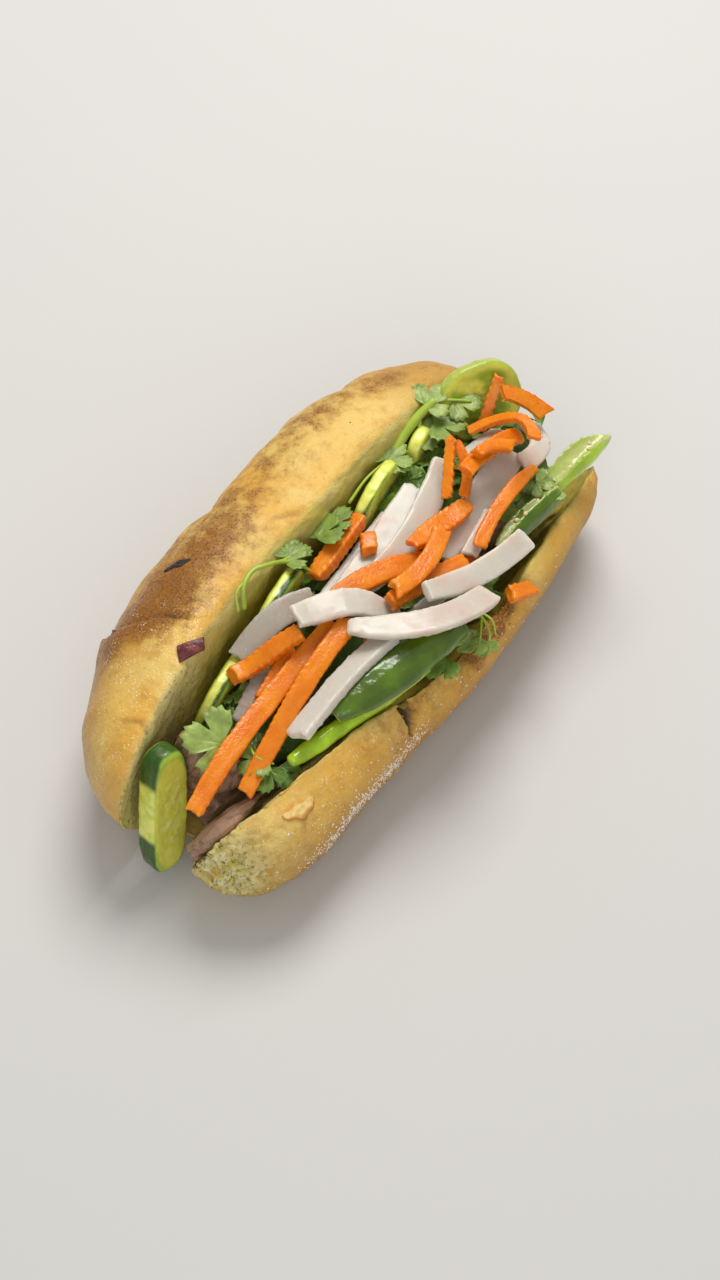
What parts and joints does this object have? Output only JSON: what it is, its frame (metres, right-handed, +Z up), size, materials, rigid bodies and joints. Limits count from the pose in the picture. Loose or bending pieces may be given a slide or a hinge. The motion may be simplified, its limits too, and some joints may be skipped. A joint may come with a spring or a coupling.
{
  "type": "banh mi sandwich",
  "caption": "Long split bread roll opened into a trough and filled with cucumber slices, meat, herbs, green chilli and strips of pickled carrot and daikon laid on top.",
  "frame": {"origin": "middle of the box round the sandwich, at its flat base", "axes": "+Z up; the roll runs along Y with its nearer end at -Y; the taller half stands on the -X side and the lower half leans out on the +X side"},
  "size_m": [0.1072, 0.203, 0.0699],
  "materials": {
    "bread": "baked crust, golden with toasted brown patches",
    "meat": "grilled meat, moist and fibrous",
    "cucumber": "moist flesh with dark green skin",
    "chilli": "glossy green skin, pale inside",
    "herbs": "fresh leaves",
    "daikon": "pickled, wet and translucent",
    "carrot": "pickled, wet"
  },
  "bodies": {
    "root": {"bread_roll": "bread", "carrot_strip_01": "carrot", "carrot_strip_02": "carrot", "carrot_strip_03": "carrot", "carrot_strip_04": "carrot", "carrot_strip_05": "carrot", "carrot_strip_06": "carrot", "carrot_strip_07": "carrot", "carrot_strip_08": "carrot", "carrot_strip_09": "carrot", "carrot_strip_10": "carrot", "carrot_strip_11": "carrot", "carrot_strip_12": "carrot", "carrot_strip_13": "carrot", "carrot_strip_14": "carrot", "carrot_strip_15": "carrot", "carrot_strip_16": "carrot", "carrot_strip_17": "carrot", "carrot_strip_18": "carrot", "carrot_strip_19": "carrot", "carrot_strip_20": "carrot", "carrot_strip_21": "carrot", "cilantro_bed": "herbs", "cucumber_slice_01": "cucumber", "cucumber_slice_02": "cucumber", "cucumber_slice_03": "cucumber", "cucumber_slice_04": "cucumber", "cucumber_slice_05": "cucumber", "cucumber_slice_06": "cucumber", "daikon_strip_01": "daikon", "daikon_strip_02": "daikon", "daikon_strip_03": "daikon", "daikon_strip_04": "daikon", "daikon_strip_05": "daikon", "daikon_strip_06": "daikon", "daikon_strip_07": "daikon", "daikon_strip_08": "daikon", "daikon_strip_09": "daikon", "daikon_strip_10": "daikon", "daikon_strip_11": "daikon", "daikon_strip_12": "daikon", "daikon_strip_13": "daikon", "daikon_strip_14": "daikon", "jalapeno_slice_01": "chilli", "jalapeno_slice_02": "chilli", "jalapeno_slice_03": "chilli", "jalapeno_slice_04": "chilli", "meat_slice_01": "meat", "meat_slice_02": "meat", "meat_slice_03": "meat", "meat_slice_04": "meat", "meat_slice_05": "meat", "meat_slice_06": "meat"}
  },
  "joints": []
}
